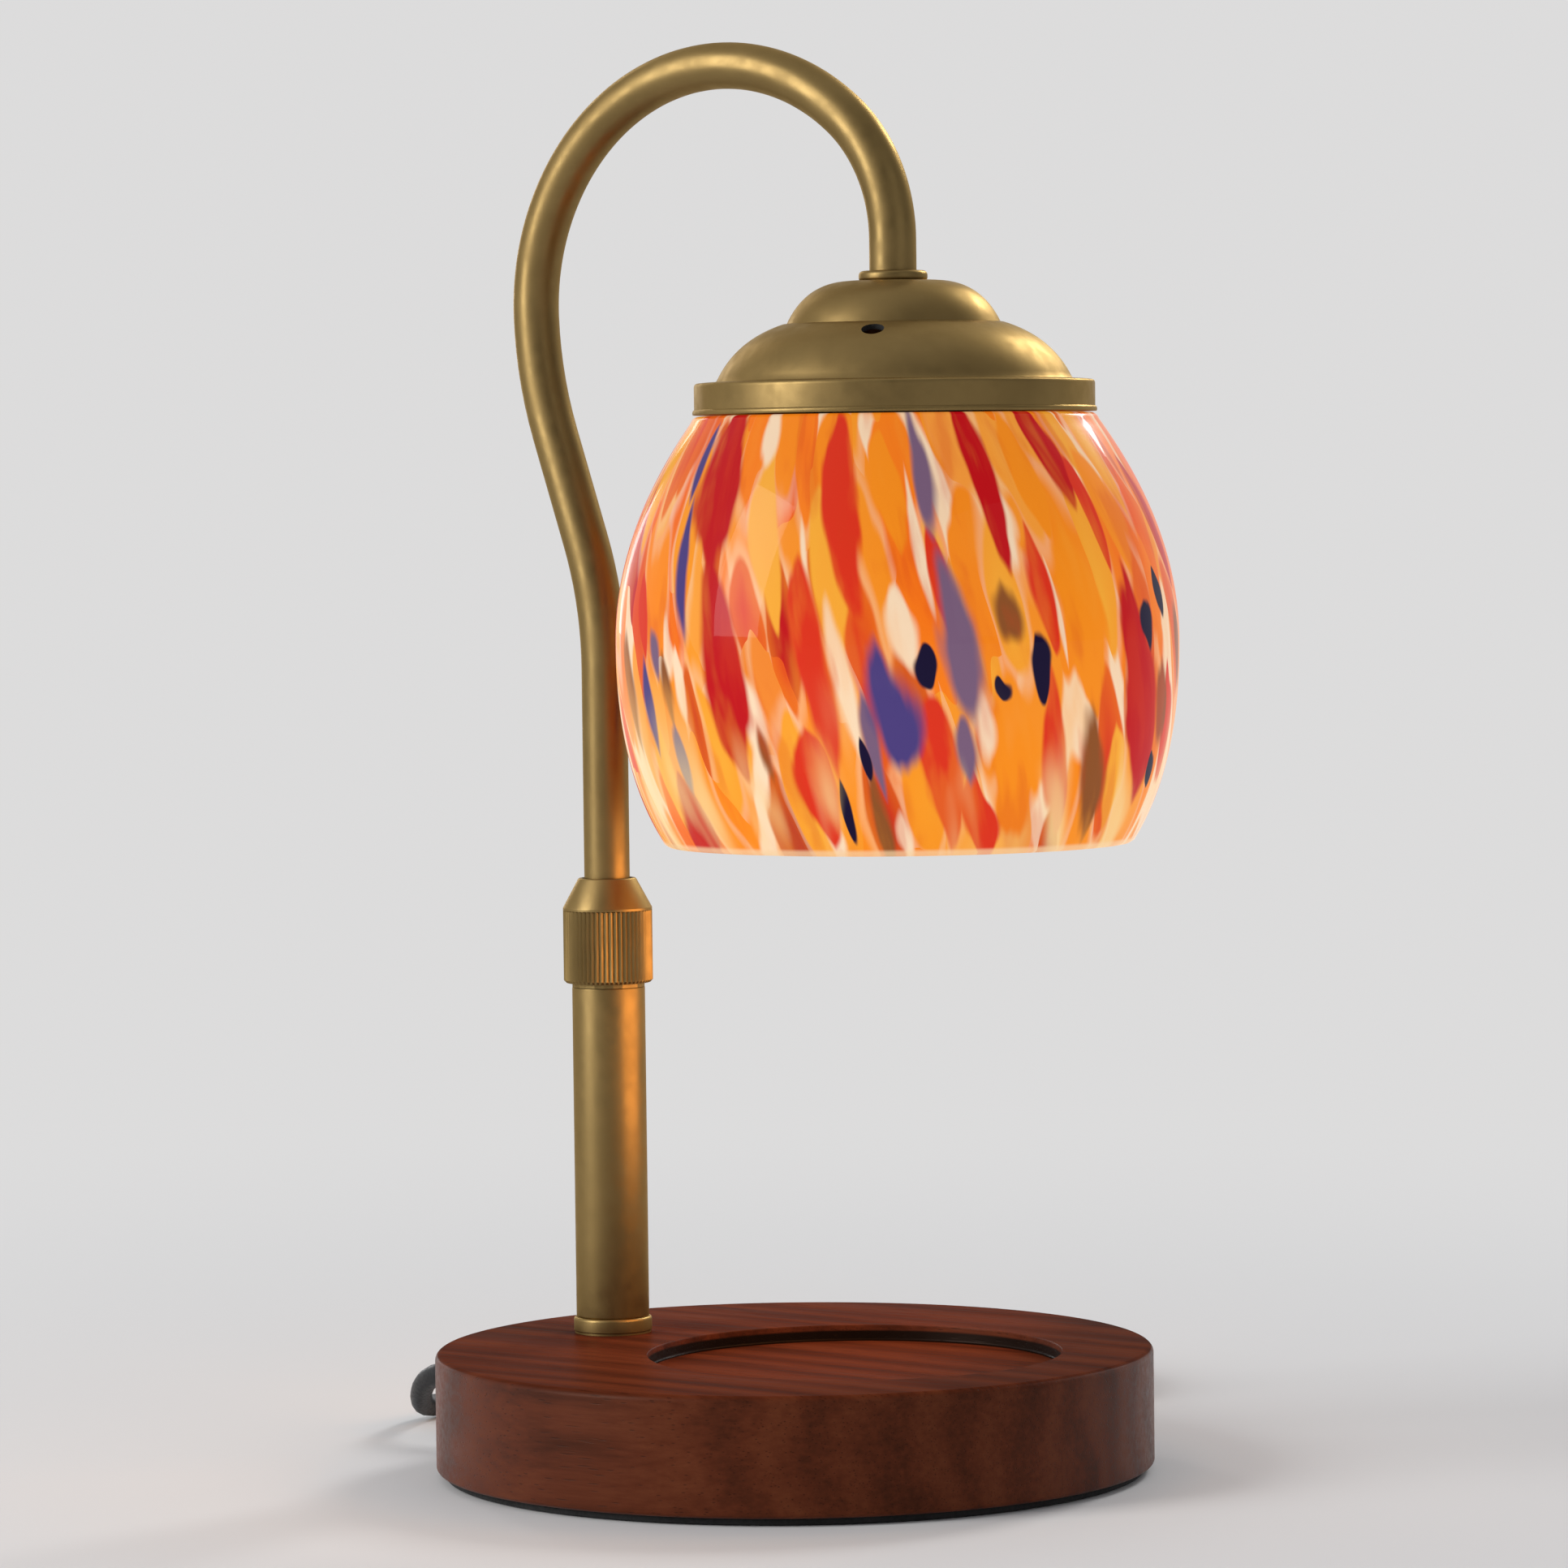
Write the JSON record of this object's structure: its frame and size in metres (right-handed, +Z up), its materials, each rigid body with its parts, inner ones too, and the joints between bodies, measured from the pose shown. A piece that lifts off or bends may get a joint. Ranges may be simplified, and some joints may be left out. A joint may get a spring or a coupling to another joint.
{
  "type": "candle warmer lamp",
  "caption": "Table lamp on a round wooden base whose gooseneck holds a glass shade over a candle, with a sliding, turning arm.",
  "frame": {"origin": "centre of the underside of the pad under the round base, on the table", "axes": "+Z up, +X from the pole side of the base towards the shade, so the lamp is alike on both sides of Y = 0"},
  "size_m": [0.2194, 0.238, 0.3079],
  "materials": {
    "walnut": "dark stained walnut, satin lacquer",
    "pad": "thin black foam pad",
    "brass": "satin antique brass",
    "steel": "zinc-plated steel",
    "amber_glass": "streaked amber, red and cream art glass",
    "clear_glass": "clear, smooth",
    "mirror": "aluminised reflector",
    "ceramic": "unglazed, matte",
    "silicone": "matte silicone",
    "nylon": "natural nylon",
    "black_plastic": "fine-grained black",
    "cord_rubber": "soft black cord sheath, slight sheen",
    "nickel": "nickel plated"
  },
  "bodies": {
    "base": {"wood_base": "walnut", "base_pad": "pad", "foot_bush": "brass", "mounting_nipple": "steel", "base_washer": "steel", "base_hex_nut": "steel", "lower_tube": "brass", "clamp_body": "brass", "base_lead": "black_plastic", "strain_relief": "cord_rubber", "cord_run_1": "cord_rubber", "cord_run_2": "cord_rubber", "cord_run_3": "cord_rubber", "cord_coil": "cord_rubber", "coil_tie": "black_plastic", "switch_bottom": "black_plastic", "switch_top": "black_plastic", "wheel_pin": "steel", "plug_body": "cord_rubber", "plug_blade_1": "nickel", "plug_blade_2": "nickel"},
    "nut": {"clamp_nut": "brass"},
    "slider": {"guide_bush": "nylon"},
    "arm": {"gooseneck": "brass", "seat_ring": "brass", "canopy": "brass", "canopy_nipple": "steel", "canopy_washer": "steel", "canopy_locknut": "steel", "holder_bracket": "steel", "bracket_screw_1": "steel", "bracket_screw_2": "steel", "lamp_holder": "ceramic", "shade_gasket": "silicone", "shade_ring": "ceramic", "glass_shade": "amber_glass", "arm_lead": "black_plastic"},
    "bulb": {"bulb_base": "ceramic", "bulb_pin_1": "nickel", "bulb_pin_2": "nickel", "bulb_reflector": "mirror", "bulb_lens": "clear_glass", "bulb_capsule": "clear_glass"},
    "dimmer": {"dimmer_wheel": "black_plastic"}
  },
  "joints": [
    {"name": "arm_slide", "type": "slide", "parent": "base", "child": "slider", "axis": [0, 0, 1], "range_m": [-0.018, 0.034]},
    {"name": "arm_swing", "type": "hinge", "parent": "slider", "child": "arm", "pos_m": [-0.0493, 0, 0.1], "axis": [0, 0, 1], "range_deg": [-90, 90]},
    {"name": "nut_turn", "type": "hinge", "parent": "base", "child": "nut", "pos_m": [-0.0493, 0, 0.115], "axis": [0, 0, 1], "range_deg": [0, 270]},
    {"name": "bulb_twist", "type": "hinge", "parent": "arm", "child": "bulb", "pos_m": [0.02928, 0, 0.2], "axis": [0, 0, 1], "range_deg": [0, 30]},
    {"name": "dimmer_turn", "type": "hinge", "parent": "base", "child": "dimmer", "pos_m": [-0.08459, 0.06056, 0.0055], "axis": [0, 0, 1], "range_deg": [0, 270]}
  ]
}
